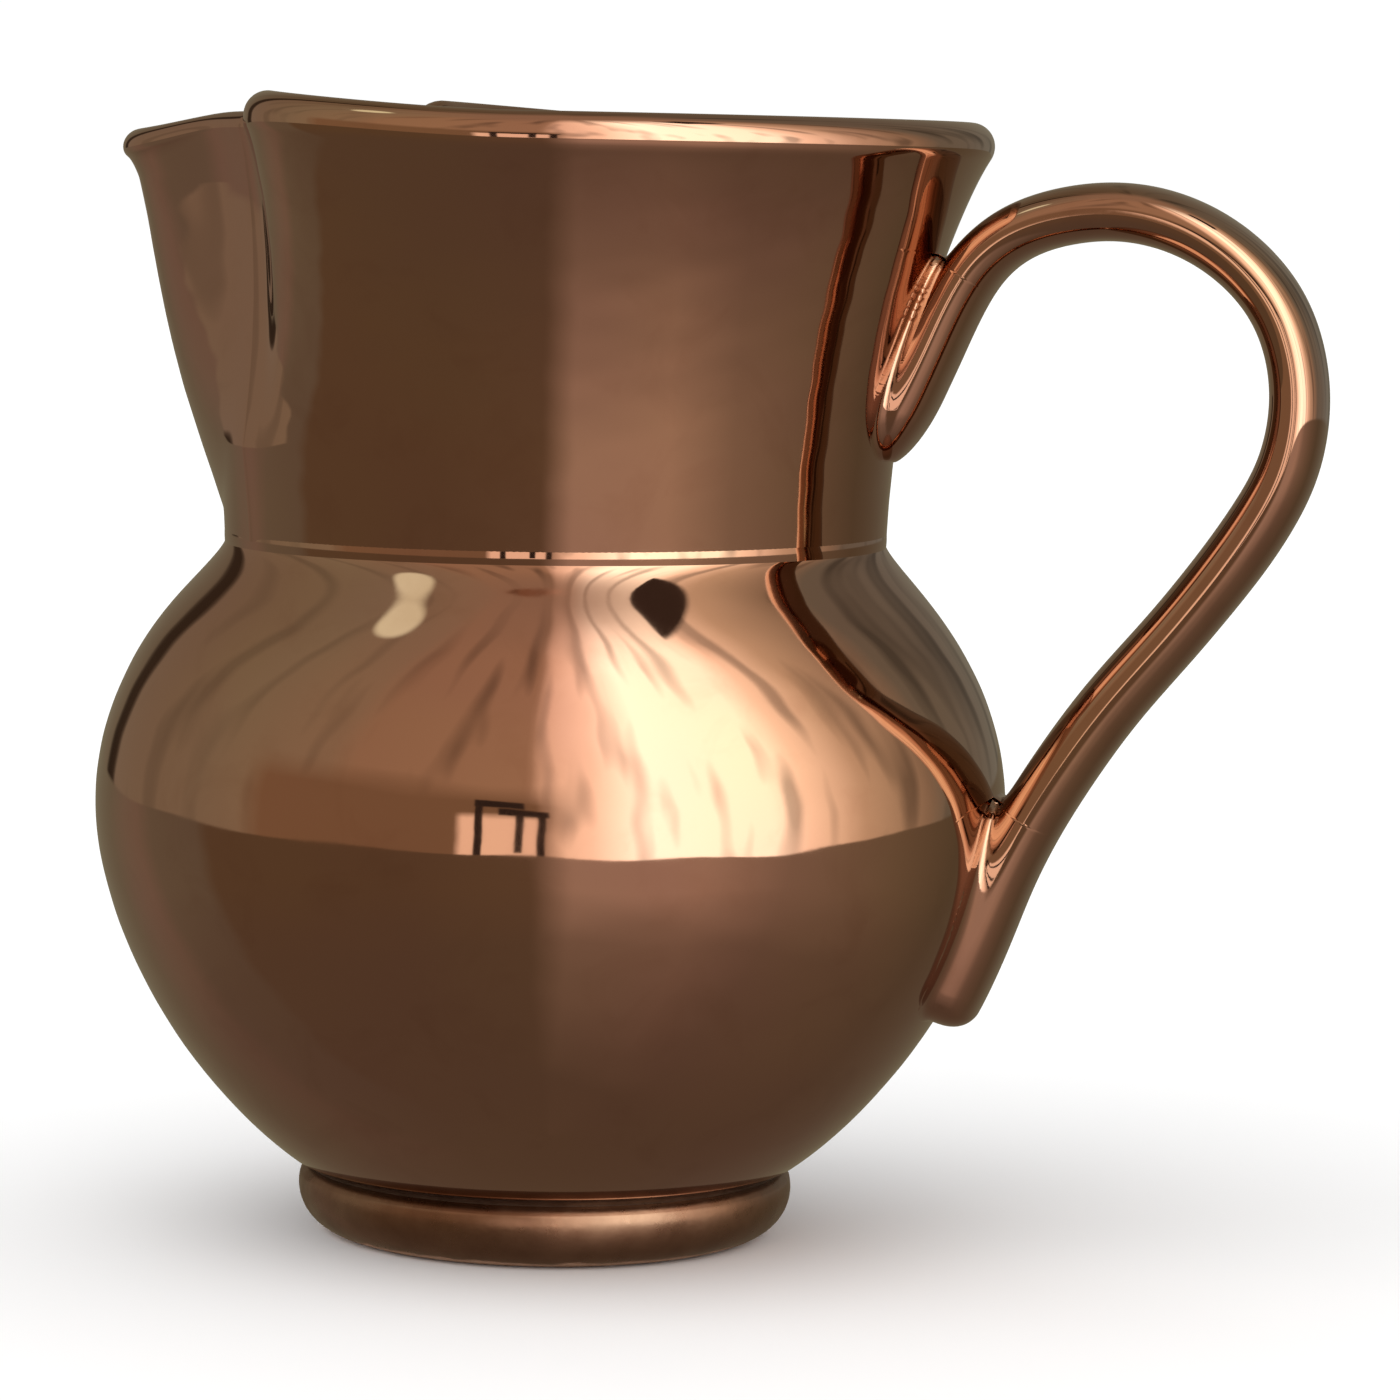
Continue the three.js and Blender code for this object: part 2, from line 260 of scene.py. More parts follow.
def mesh_object(name, points, faces, materials, sharp=35):
    mesh = bpy.data.meshes.new(name)
    mesh.from_pydata(in_frame(points).tolist(), [], faces)
    mesh.validate()
    mesh.shade_smooth()
    mesh.set_sharp_from_angle(angle=math.radians(sharp))
    for material in materials:
        mesh.materials.append(material)
    piece = bpy.data.objects.new(name, mesh)
    bpy.context.scene.collection.objects.link(piece)
    return piece


def grid_faces(rows, columns, rows_close=True, columns_close=True):
    """Quads of a grid of points stored row by row."""
    faces = []
    for i in range(rows if rows_close else rows - 1):
        for j in range(columns if columns_close else columns - 1):
            row, after_row = i * columns, (i + 1) % rows * columns
            after_j = (j + 1) % columns
            faces.append((row + j, after_row + j, after_row + after_j, row + after_j))
    return faces


def turned(name, profile, materials, segments=288, waves=None, slot_of=None):
    """A solid turned from a closed profile, or from one that starts and ends on the axis."""
    profile = np.asarray(profile, float)
    on_axis = profile[0][0] < 1e-6
    body = profile[1:-1] if on_axis else profile
    count = len(body)
    angles = np.linspace(0, 2 * math.pi, segments, endpoint=False)[:, None]
    radius = np.broadcast_to(body[:, 0], (segments, count)).copy()
    height = np.broadcast_to(body[:, 1], (segments, count))
    if waves is not None:
        share = waves[1:-1] if on_axis else waves
        radius += throwing_waves(angles, height) * share
    points = np.stack([radius * np.cos(angles), radius * np.sin(angles), height], axis=-1)
    points = points.reshape(-1, 3)
    faces = grid_faces(segments, count, True, not on_axis)
    slots = [j for _ in range(segments) for j in range(count if not on_axis else count - 1)]
    if on_axis:
        first = len(points)
        points = np.vstack([points, [0, 0, profile[0][1]], [0, 0, profile[-1][1]]])
        for i in range(segments):
            after = (i + 1) % segments
            faces.append((first, after * count, i * count))
            faces.append((first + 1, i * count + count - 1, after * count + count - 1))
            slots += [0, count - 2]
    piece = mesh_object(name, points, faces, materials)
    if slot_of is not None:
        indices = [slot_of(j) for j in slots]
        piece.data.polygons.foreach_set("material_index", indices)
    return piece


# ---- materials ----
class Nodes:
    """A short way to write a material's nodes."""

    def __init__(self, tree):
        self.tree = tree
        self.tree.nodes.clear()

    def add(self, kind, **settings):
        node = self.tree.nodes.new(kind)
        for key, value in settings.items():
            if key == "inputs":
                for socket, content in value.items():
                    self.set(node, socket, content)
            else:
                setattr(node, key, value)
        return node

    def set(self, node, socket, content):
        if isinstance(content, bpy.types.NodeSocket):
            self.tree.links.new(content, node.inputs[socket])
        else:
            node.inputs[socket].default_value = content

    def math(self, operation, *values):
        node = self.add("ShaderNodeMath", operation=operation)
        for i, value in enumerate(values):
            self.set(node, i, value)
        return node.outputs[0]

    def vector(self, operation, *values):
        node = self.add("ShaderNodeVectorMath", operation=operation)
        for i, value in enumerate(values):
            self.set(node, i, value)
        return node.outputs["Value" if operation == "DOT_PRODUCT" else "Vector"]

    def span(self, value, low, high, to_low=0.0, to_high=1.0, kind="LINEAR"):
        node = self.add("ShaderNodeMapRange", interpolation_type=kind)
        for i, content in enumerate((value, low, high, to_low, to_high)):
            self.set(node, i, content)
        return node.outputs[0]

    def noise(self, place, scale, detail=2.0, rough=0.5, distortion=0.0):
        node = self.add("ShaderNodeTexNoise")
        for socket, content in (
            ("Vector", place),
            ("Scale", scale),
            ("Detail", detail),
            ("Roughness", rough),
            ("Distortion", distortion),
        ):
            self.set(node, socket, content)
        return node.outputs["Fac"]

    def blend(self, share, a, b, kind="MIX"):
        node = self.add("ShaderNodeMix", data_type="RGBA", blend_type=kind)
        self.set(node, 0, share)
        self.set(node, 6, a)
        self.set(node, 7, b)
        return node.outputs[2]

    def ramp(self, share, stops):
        node = self.add("ShaderNodeValToRGB")
        elements = node.color_ramp.elements
        while len(elements) < len(stops):
            elements.new(1.0)
        for element, (position, colour) in zip(elements, stops):
            element.position = position
            element.color = (*colour, 1.0)
        self.set(node, 0, share)
        return node.outputs[0]


def new_material(name):
    material = bpy.data.materials.new(name)
    material.use_nodes = True
    return material, Nodes(material.node_tree)


COPPER = (0.47, 0.288, 0.19, 1)
COPPER_PINK = (0.447, 0.255, 0.187, 1)
COPPER_DEEP = (0.367, 0.196, 0.128, 1)
PIT = (0.05, 0.02, 0.012, 1)


def place(nodes):
    return nodes.add("ShaderNodeTexCoord").outputs["Object"]


def lustre_colour(nodes, where):
    """Copper that drifts between orange and pink, thinner and darker in clouds, with a few pits."""
    drift = nodes.span(nodes.noise(where, 28.0, 2.0), 0.35, 0.68)
    colour = nodes.blend(drift, COPPER, COPPER_PINK)
    clouds = nodes.span(nodes.noise(where, 95.0, 4.0, 0.6, 0.6), 0.52, 0.78, 0.0, 0.42)
    colour = nodes.blend(clouds, colour, COPPER_DEEP)
    cells = nodes.add("ShaderNodeTexVoronoi", inputs={"Vector": where, "Scale": 150.0})
    near = nodes.span(cells.outputs["Distance"], 0.018, 0.034, 1.0, 0.0)
    red = nodes.add("ShaderNodeSeparateColor", inputs={0: cells.outputs["Color"]}).outputs[0]
    chosen = nodes.math("GREATER_THAN", red, 0.93)
    return nodes.blend(nodes.math("MULTIPLY", near, chosen), colour, PIT)


def lustre_bump(nodes, where, height):
    """The faint orange peel of the glaze under the lustre."""
    peel = nodes.noise(where, 420.0, 2.0, 0.45)
    bump = nodes.add("ShaderNodeBump", inputs={"Strength": 1.0, "Distance": height, "Height": peel})
    return bump.outputs[0]


def lustre_material():
    material, nodes = new_material("copper_lustre")
    where = place(nodes)
    rough = nodes.span(nodes.noise(where, 130.0, 4.0, 0.6), 0.3, 0.8, 0.02, 0.075)
    surface = nodes.add(
        "ShaderNodeBsdfPrincipled",
        inputs={
            "Base Color": lustre_colour(nodes, where),
            "Metallic": 1.0,
            "Roughness": rough,
            "Normal": lustre_bump(nodes, where, 0.0000022),
        },
    )
    nodes.add("ShaderNodeOutputMaterial", inputs={0: surface.outputs[0]})
    return material


def satin_material():
    """The foot: a thin lustre over a dry glaze, rubbed through to the clay where it stands."""
    material, nodes = new_material("satin_lustre")
    where = place(nodes)
    height = nodes.add("ShaderNodeSeparateXYZ", inputs={0: where}).outputs[2]
    uneven = nodes.math("MULTIPLY", nodes.noise(where, 260.0, 4.0, 0.6), 0.0011)
    worn = nodes.span(nodes.math("SUBTRACT", height, uneven), 0.00005, 0.00035, 1.0, 0.0)
    grain = nodes.noise(where, 1500.0, 3.0, 0.6)
    mottled = nodes.span(nodes.noise(where, 190.0, 4.0, 0.6), 0.35, 0.7)
    copper = nodes.blend(mottled, (0.325, 0.188, 0.125, 1), (0.25, 0.138, 0.09, 1))
    clay = nodes.blend(grain, (0.33, 0.17, 0.10, 1), (0.45, 0.27, 0.17, 1))
    rough = nodes.span(nodes.noise(where, 330.0, 3.0, 0.6), 0.3, 0.75, 0.24, 0.40)
    bump = nodes.add(
        "ShaderNodeBump", inputs={"Strength": 1.0, "Distance": 0.000014, "Height": grain}
    )
    surface = nodes.add(
        "ShaderNodeBsdfPrincipled",
        inputs={
            "Base Color": nodes.blend(worn, copper, clay),
            "Metallic": nodes.math("SUBTRACT", 1.0, worn),
            "Roughness": nodes.math("ADD", rough, nodes.math("MULTIPLY", worn, 0.4)),
            "Normal": bump.outputs[0],
        },
    )
    nodes.add("ShaderNodeOutputMaterial", inputs={0: surface.outputs[0]})
    return material


def inside_material():
    """Inside: lustre brushed on to a band below the rim, then clear glaze over red-brown clay."""
    material, nodes = new_material("inside_glaze")
    where = place(nodes)
    height = nodes.add("ShaderNodeSeparateXYZ", inputs={0: where}).outputs[2]
    brushed = nodes.math("MULTIPLY", nodes.noise(where, 60.0, 3.0, 0.5), 0.006)
    line = nodes.math("ADD", height, brushed)
    band = nodes.span(line, 0.1045, 0.1060, kind="SMOOTHSTEP")
    speckle = nodes.span(nodes.noise(where, 700.0, 4.0, 0.65), 0.35, 0.75)
    clay = nodes.blend(speckle, (0.115, 0.043, 0.022, 1), (0.19, 0.078, 0.040, 1))
    pooled = nodes.span(nodes.noise(where, 40.0, 2.0), 0.3, 0.7)
    clay = nodes.blend(pooled, clay, nodes.blend(0.5, clay, (0.07, 0.026, 0.015, 1)))
    rough = nodes.span(nodes.noise(where, 130.0, 4.0, 0.6), 0.3, 0.8, 0.05, 0.13)
    surface = nodes.add(
        "ShaderNodeBsdfPrincipled",
        inputs={
            "Base Color": nodes.blend(band, clay, lustre_colour(nodes, where)),
            "Metallic": band,
            "Roughness": rough,
            "IOR": 1.55,
            "Normal": lustre_bump(nodes, where, 0.000006),
        },
    )
    nodes.add("ShaderNodeOutputMaterial", inputs={0: surface.outputs[0]})
    return material


def slip_with_painted_shade_material():
    """Slip in the corner above the foot: a dull slip where the lustre hardly reaches, darkened
    further with painted shade in the crease.
    """
    material, nodes = new_material("slip_with_painted_shade")
    where = place(nodes)
    mottled = nodes.span(nodes.noise(where, 300.0, 4.0, 0.6), 0.35, 0.7)
    # the dark base colour is partly the slip's own dull tone and partly painted shade in the crease
    surface = nodes.add(
        "ShaderNodeBsdfPrincipled",
        inputs={
            "Base Color": nodes.blend(mottled, (0.12, 0.075, 0.052, 1), (0.07, 0.04, 0.026, 1)),
            "Metallic": 0.8,
            "Roughness": 0.34,
        },
    )
    nodes.add("ShaderNodeOutputMaterial", inputs={0: surface.outputs[0]})
    return material


LUSTRE = lustre_material()
SATIN = satin_material()
INSIDE = inside_material()
SLIP_WITH_PAINTED_SHADE = slip_with_painted_shade_material()


# ---- bowl and foot ----
def bowl():
    outside = np.vstack([BOWL_LOWER, BOWL_UPPER[1:]])
    inside = inset(outside, BOWL_WALL)[::-1]
    inside[0] = (WAIST[0] - COLLAR_WALL, WAIST[1])
    inside = inside[inside[:, 1] > BASE_LOW_Z + BASE_THICKNESS + 3]
    plug = FOOT_BORE - 0.3
    floor_z = BASE_LOW_Z + BASE_THICKNESS
    hollow = bezier(
        [inside[-1], inside[-1] + (inside[-1] - inside[-2]) * 14, (17, floor_z), (0, floor_z)], 40
    )
    base = bezier(
        [(0, BASE_LOW_Z), (8, BASE_LOW_Z), (plug - 4, BASE_LOW_Z), (plug - 0.6, BASE_LOW_Z)], 14
    )
    corner = arc((plug - 0.6, BASE_LOW_Z + 0.6), 0.6, -80, 0, 5)
    shoulder = [(plug, CREASE[1] - 0.4), (CREASE[0] - 3, CREASE[1] - 0.4)]
    profile = np.vstack([base, corner, shoulder, outside, inside, hollow[1:]])
    first_outside = len(base) + len(corner) + len(shoulder)
    last_outside = first_outside + len(outside)
    # the throwing waves fade out at the crease, the waist and the middle of the floor
    share = np.zeros(len(profile))
    inner = profile[last_outside:]
    outer_fade = 1 - smooth(outside[:, 1], WAIST[1] - 6, WAIST[1])
    inner_fade = 1 - smooth(inner[:, 1], WAIST[1] - 6, WAIST[1])
    share[first_outside:last_outside] = smooth(outside[:, 1], CREASE[1], CREASE[1] + 6) * outer_fade
    share[last_outside:] = 2.5 * smooth(inner[:, 0], 6, 16) * inner_fade

    def slot_of(j):
        if j >= last_outside - 2:
            return 1
        return 2 if j < first_outside - 1 else 0

    return turned("jug_bowl", profile, [LUSTRE, INSIDE, SATIN], waves=share, slot_of=slot_of)


def foot_ring():
    edge = arc((FOOT_RADIUS - FOOT_EDGE, FOOT_EDGE), FOOT_EDGE, -90, 14, 40)
    top = bezier(
        [
            edge[-1],
            (FOOT_RADIUS - 0.4, FOOT_HEIGHT - 0.7),
            (FOOT_RADIUS - 0.7, FOOT_HEIGHT),
            (FOOT_RADIUS - 1.5, FOOT_HEIGHT),
        ],
        12,
    )
    profile = np.vstack(
        [
            [(FOOT_BORE + 1.2, 0)],
            edge,
            top[1:],
            [(FOOT_BORE, FOOT_HEIGHT)],
            arc((FOOT_BORE + 1.2, 1.2), 1.2, 180, 262, 8),
        ]
    )
    return turned("jug_foot_ring", profile, [SATIN])


def foot_seam():
    inner = FOOT_BORE + 2
    low = FOOT_HEIGHT - 0.25
    high = CREASE[1] + 0.35
    face = bezier(
        [
            (FOOT_RADIUS - 1.1, low),
            (FOOT_RADIUS - 1.2, low + 0.75),
            (CREASE[0] - 0.9, high - 0.45),
            (CREASE[0] - 0.05, high),
        ],
        12,
    )
    profile = np.vstack([[(inner, low)], face, [(inner, high)]])
    # the slip in this crease carries painted shade
    return turned("jug_foot_seam", profile, [SLIP_WITH_PAINTED_SHADE])


def waist_seam():
    """A fine bead of slip in the corner between the bowl and the collar."""
    reach = 0.9
    nearest = np.argmin(np.abs(BOWL_UPPER[:, 1] - (WAIST[1] - reach)))
    below = BOWL_UPPER[nearest] - (HIDDEN, HIDDEN)
    collar = np.interp(WAIST[1] + reach, COLLAR_FACE[:, 1], COLLAR_FACE[:, 0])
    above = (collar - HIDDEN, WAIST[1] + reach)
    corner = np.array([WAIST[0] + 0.06, WAIST[1]])
    face = bezier([below, mix(below, corner, 0.8), mix(np.array(above), corner, 0.8), above], 14)
    inner = WAIST[0] - 1.5
    profile = np.vstack([[(inner, below[1])], face, [(inner, above[1])]])
    return turned("jug_waist_seam", profile, [LUSTRE])


# ---- collar and spout: one wall, in plan a circle with a rounded V let into it ----
def collar_middle(z):
    wall_top = RIM_Z - 7
    face = np.interp(np.minimum(z, wall_top), COLLAR_FACE[:, 1], COLLAR_FACE[:, 0])
    share = np.clip((z - wall_top) / (RIM_Z - wall_top), 0, 1)
    return mix(face - COLLAR_WALL / 2, RIM_RADIUS, share)


def keel_middle(z):
    keel = np.interp(z, KEEL_FACE[:, 1], KEEL_FACE[:, 0]) - COLLAR_WALL / 2
    return np.maximum(keel, collar_middle(z))


def pinch(z):
    share = np.clip((z - PINCH_LOW_Z) / (RIM_Z - PINCH_LOW_Z), 0, 1)
    return PINCH_DEPTH * share**PINCH_GROWTH


def wall_middle(angle, z):
    """Radius of the wall's middle line at an angle from the spout's centre line and a height."""
    keel = keel_middle(z)
    crease_radius = collar_middle(z) - pinch(z)
    crease_angle = np.arcsin(SPOUT_HALF_WIDTH / crease_radius)
    depth = keel - crease_radius * np.cos(crease_angle)
    height_share = np.clip((z - WAIST[1]) / (RIM_Z - WAIST[1]), 0, 1)
    # in plan the spout is a hyperbola, whose point is sharper than a parabola's; that would be 0.5
    bluntest = NOSE_LIMIT * SPOUT_HALF_WIDTH**2 / depth
    nose = np.minimum(mix(*NOSE_RADII, height_share**NOSE_GROWTH), bluntest)
    rounding = nose * depth**2 / (SPOUT_HALF_WIDTH**2 - 2 * nose * depth)
    slope = np.sqrt(rounding / nose)
    reach = keel + rounding
    turn = np.minimum(angle, crease_angle)
    along = np.cos(turn) * reach
    spread = np.cos(turn) ** 2 - slope**2 * np.sin(turn) ** 2
    rest = reach**2 - rounding**2
    spout_radius = rest / (along + np.sqrt(along**2 - spread * rest))
    past = np.maximum(angle - crease_angle, 0)
    collar = collar_middle(z) - pinch(z) * np.exp(-((past / PINCH_SPREAD) ** 2))
    # the outer of the two, with the crease between them softened
    spout = spout_radius - past * SPOUT_FALL
    soft = CREASE_SOFTNESS + CREASE_SPREAD * pinch(z)
    return (collar + spout + np.hypot(collar - spout, soft)) / 2


def wall_place(angle, z, out):
    """Points of the wall, a distance out from its middle line, square to that line in plan."""
    height = np.minimum(z, RIM_Z)

    def plan(a):
        radius = wall_middle(np.abs(a), height)
        return -radius * np.cos(a), radius * np.sin(a)

    ahead = plan(angle + 0.004)
    behind = plan(angle - 0.004)
    run_x, run_y = ahead[0] - behind[0], ahead[1] - behind[1]
    length = np.hypot(run_x, run_y)
    x, y = plan(angle)
    return x - run_y / length * out, y + run_x / length * out


def wall_section(roll, edge_radius, edge_z, lean=ROLL_LEAN, curl=ROLL_CURL):
    """Up the outside, over a rolled edge and down the inside, always with as many points."""
    angle = math.radians(lean)
    outer_end = (edge_radius + roll * math.cos(angle), edge_z - roll * math.sin(angle))
    outer_corners = [WAIST, step(WAIST, *COLLAR_START), step(outer_end, -curl, lean), outer_end]
    outer = bezier(outer_corners, OUTER_POINTS)
    over = arc((edge_radius, edge_z), roll, -lean, 165, EDGE_POINTS)
    start = over[-1]
    inner = bezier(
        [
            start,
            (start[0] - 4.4, start[1] - 13),
            (WAIST[0] - COLLAR_WALL + 0.4, WAIST[1] + 18),
            (WAIST[0] - COLLAR_WALL, WAIST[1]),
        ],
        INNER_POINTS,
    )
    return np.vstack([outer, over[1:], inner[1:]])


def wall_angles(count, crease_angle):
    """Angles round the wall, closer together at the spout's point and its two creases."""
    even = np.linspace(-math.pi, math.pi, 4001)
    weight = 1 + 3 * np.exp(-((even / 0.2) ** 2))
    weight += 4 * np.exp(-(((np.abs(even) - crease_angle) / 0.13) ** 2))
    total = np.concatenate([[0], np.cumsum((weight[1:] + weight[:-1]) / 2)])
    return np.interp(np.linspace(0, total[-1], count, endpoint=False), total, even)[:, None]


def collar_and_spout():
    crease_angle = float(np.arcsin(SPOUT_HALF_WIDTH / (collar_middle(RIM_Z) - pinch(RIM_Z))))
    collar = wall_section(RIM_ROLL, RIM_RADIUS, RIM_Z)
    crease = wall_section(LIP_ROLL, RIM_RADIUS, RIM_Z - LIP_DROP)
    shift = SPOUT_TIP - (keel_middle(RIM_Z) - collar_middle(RIM_Z)) - RIM_RADIUS
    tip = wall_section(TIP_ROLL, RIM_RADIUS + shift, SPOUT_TIP_Z - RIM_RISE, TIP_LEAN, TIP_CURL)
    angles = wall_angles(WALL_COLUMNS, crease_angle)
    turn = np.abs(angles)[:, :, None]
    to_collar = smooth(turn, crease_angle + 0.1, crease_angle + 0.25)
    to_tip = np.cos(math.pi / 2 * np.minimum(turn / crease_angle, 1)) ** 3
    section = mix(mix(collar, crease, 1 - to_collar), tip, to_tip)
    section_r, section_z = section[..., 0], section[..., 1]
    inner = np.arange(len(collar)) > EDGE_TOP
    wave = throwing_waves(angles, section_z) * np.where(inner, -2.0, 1.0)
    # two crossing ripples beside the spout's crease
    beside = np.exp(-(((turn[:, :, 0] - PULLED_PLACE) / PULLED_SPREAD) ** 2))
    pulled = np.sin(31 * angles + 2 * math.pi * section_z / 5.9)
    pulled = pulled + 0.7 * np.sin(2 * math.pi * section_z / 3.7 - 23 * angles)
    wave = wave + PULLED_RIPPLE * beside * pulled
    wave = wave * smooth(section_z, WAIST[1], WAIST[1] + 6)
    wave = wave * (1 - smooth(section_z, RIM_Z - 8, RIM_Z - 3))
    out = section_r - collar_middle(section_z) + wave
    x, y = wall_place(angles, section_z, out)
    climb = smooth(section_z, WAIST[1] + 15, RIM_Z)
    rise = RIM_RISE * climb * (1 - smooth(turn[:, :, 0], 0.85, 1.75))
    points = np.stack([x, y, section_z + rise], axis=-1).reshape(-1, 3)
    rows, columns = section_r.shape
    faces = [face[::-1] for face in grid_faces(rows, columns)]
    piece = mesh_object("jug_collar_and_spout", points, faces, [LUSTRE, INSIDE])
    slots = [1 if j >= LUSTRE_END else 0 for _ in range(rows) for j in range(columns)]
    piece.data.polygons.foreach_set("material_index", slots)
    return piece


# ---- handle ----
def catmull(points, per_span):
    """Centripetal Catmull-Rom curve through points."""
    points = np.asarray(points, float)
    whole = np.vstack([2 * points[0] - points[1], points, 2 * points[-1] - points[-2]])
    knots = np.concatenate([[0], np.cumsum(np.linalg.norm(np.diff(whole, axis=0), axis=1) ** 0.5)])
    result = []
    for i in range(1, len(whole) - 2):
        t = np.linspace(knots[i], knots[i + 1], per_span, endpoint=False)[:, None]
        t0, t1, t2, t3 = knots[i - 1 : i + 3]
        p0, p1, p2, p3 = whole[i - 1 : i + 3]
        a1 = (t1 - t) / (t1 - t0) * p0 + (t - t0) / (t1 - t0) * p1
        a2 = (t2 - t) / (t2 - t1) * p1 + (t - t1) / (t2 - t1) * p2
        a3 = (t3 - t) / (t3 - t2) * p2 + (t - t2) / (t3 - t2) * p3
        b1 = (t2 - t) / (t2 - t0) * a1 + (t - t0) / (t2 - t0) * a2
        b2 = (t3 - t) / (t3 - t1) * a2 + (t - t1) / (t3 - t1) * a3
        result.append((t2 - t) / (t2 - t1) * b1 + (t - t1) / (t2 - t1) * b2)
    return np.vstack([*result, points[-1:]])


def evened(line, count):
    """The line at equal steps of length, and its length."""
    run = np.concatenate([[0], np.cumsum(np.linalg.norm(np.diff(line, axis=0), axis=1))])
    along = np.linspace(0, run[-1], count)
    columns = [np.interp(along, run, line[:, k]) for k in range(line.shape[1])]
    return np.column_stack(columns), run[-1]


def softened(line, spread):
    """The line with its curvature evened out, ends kept."""
    reach = int(spread * 3)
    before = 2 * line[0] - line[reach:0:-1]
    after = 2 * line[-1] - line[-2 : -reach - 2 : -1]
    long = np.vstack([before, line, after])
    weights = np.exp(-0.5 * (np.arange(-reach, reach + 1) / spread) ** 2)
    weights /= weights.sum()
    return np.column_stack([np.convolve(long[:, k], weights, "valid") for k in range(2)])


OUTLINE = np.vstack([BOWL_LOWER, BOWL_UPPER[1:-1], COLLAR_FACE])
OUTLINE_SLOPE = np.gradient(OUTLINE[:, 0], OUTLINE[:, 1])


def off_body(points):
    """Distance outside the jug's body, near its surface."""
    radius = np.hypot(points[..., 0], points[..., 1])
    surface = np.interp(points[..., 2], OUTLINE[:, 1], OUTLINE[:, 0])
    slope = np.interp(points[..., 2], OUTLINE[:, 1], OUTLINE_SLOPE)
    return (radius - surface) / np.sqrt(1 + slope**2)


def joined(a, b, fillet):
    """The two distances joined, with the corner between their surfaces filled."""
    share = np.maximum(fillet - np.abs(a - b), 0) / fillet
    return np.minimum(a, b) - share**3 * fillet / 6


def rounded_end(distance, length):
    """Share of the full thickness at a distance from an end that rounds off over a length."""
    return np.sqrt(1 - np.clip(1 - distance / length, 0, 1) ** 2)


def ring_outline(centre, in_plane, half, angle):
    """Radius round one ring of the joined surface: strap, fillet and a skirt under the body."""
    across = np.array([0, 1.0, 0])
    flats = np.abs(np.cos(angle) / half[0]) ** STRAP_POWER
    flats = flats + np.abs(np.sin(angle) / half[1]) ** STRAP_POWER
    strap = flats ** (-1 / STRAP_POWER)
    if off_body(centre) > ROOT_FILLET + 5:
        return strap
    ray = np.cos(angle)[:, None] * in_plane + np.sin(angle)[:, None] * across
    reach = strap + ROOT_FILLET
    steps = np.linspace(0, 1, 90)
    distance = reach[:, None] * steps
    body = off_body(centre + ray[:, None, :] * distance[..., None])
    field = joined(distance - strap[:, None], body + HIDDEN, ROOT_FILLET)
    buried = -body - ROOT_DEPTH
    field = np.maximum(field, buried)
    field[:, 0] = np.minimum(field[:, 0], -1e-4)
    outside = field >= 0
    crossing = np.where(outside.any(axis=1), outside.argmax(axis=1), len(steps) - 1)
    rows = np.arange(len(angle))
    before, after = field[rows, crossing - 1], field[rows, crossing]
    share = np.where(after > 0, before / np.minimum(before - after, -1e-9), 1)
    radius = mix(distance[rows, crossing - 1], distance[rows, crossing], share)
    return np.maximum(radius, LEAST_RADIUS)


def even_ring(angle, radius, count):
    """The same closed outline with its points at equal steps of length."""
    x, y = radius * np.cos(angle), radius * np.sin(angle)
    x, y = np.append(x, x[0]), np.append(y, y[0])
    run = np.concatenate([[0], np.cumsum(np.hypot(np.diff(x), np.diff(y)))])
    along = np.linspace(0, run[-1], count, endpoint=False)
    return np.interp(along, run, x), np.interp(along, run, y)


def handle():
    line, length = evened(catmull(HANDLE_LINE, 24), HANDLE_STEPS)
    line = softened(line, LINE_SOFTENING / length * HANDLE_STEPS)
    run = np.linspace(0, length, HANDLE_STEPS)
    # rings closer together near the two roots
    weight = 1 + 2.2 * (1 - smooth(run, 22, 34)) + 2.2 * smooth(run, length - 40, length - 28)
    total = np.cumsum(weight)
    along = np.interp(np.linspace(total[0], total[-1], HANDLE_RINGS), total, run)
    middle = np.column_stack([np.interp(along, run, line[:, k]) for k in range(2)])
    heading = np.gradient(line, axis=0)
    heading = np.column_stack([np.interp(along, run, heading[:, k]) for k in range(2)])
    heading /= np.linalg.norm(heading, axis=1)[:, None]
    table = np.array(HANDLE_SECTION)
    half = np.column_stack([np.interp(run / length, table[:, 0], table[:, k]) for k in (1, 2)])
    half = softened(half, SECTION_SOFTENING)
    half = np.column_stack([np.interp(along, run, half[:, k]) for k in range(2)])
    for k in range(2):
        upper = rounded_end(along, UPPER_ROUNDING[k])
        half[:, k] *= upper * rounded_end(length - along, LOWER_ROUNDING[k])
    half = np.maximum(half, LEAST_RADIUS)
    angle = np.linspace(0, 2 * math.pi, 720, endpoint=False)
    points = []
    for (x, z), (run_x, run_z), size in zip(middle, heading, half):
        centre = np.array([x, 0, z])
        in_plane = np.array([-run_z, 0, run_x])
        radius = ring_outline(centre, -in_plane, size, angle)
        flat_x, flat_y = even_ring(angle, radius, HANDLE_SIDES)
        points.append(centre - flat_x[:, None] * in_plane + flat_y[:, None] * np.array([0, 1.0, 0]))
    points = np.array(points).reshape(-1, 3)
    faces = grid_faces(HANDLE_RINGS, HANDLE_SIDES, rows_close=False)
    first = len(points)
    last_ring = (HANDLE_RINGS - 1) * HANDLE_SIDES
    ends = [[middle[0][0], 0, middle[0][1]], [middle[-1][0], 0, middle[-1][1]]]
    points = np.vstack([points, ends])
    for k in range(HANDLE_SIDES):
        after = (k + 1) % HANDLE_SIDES
        faces.append((first, k, after))
        faces.append((first + 1, last_ring + after, last_ring + k))
    return mesh_object("jug_handle", points, faces, [LUSTRE], sharp=60)


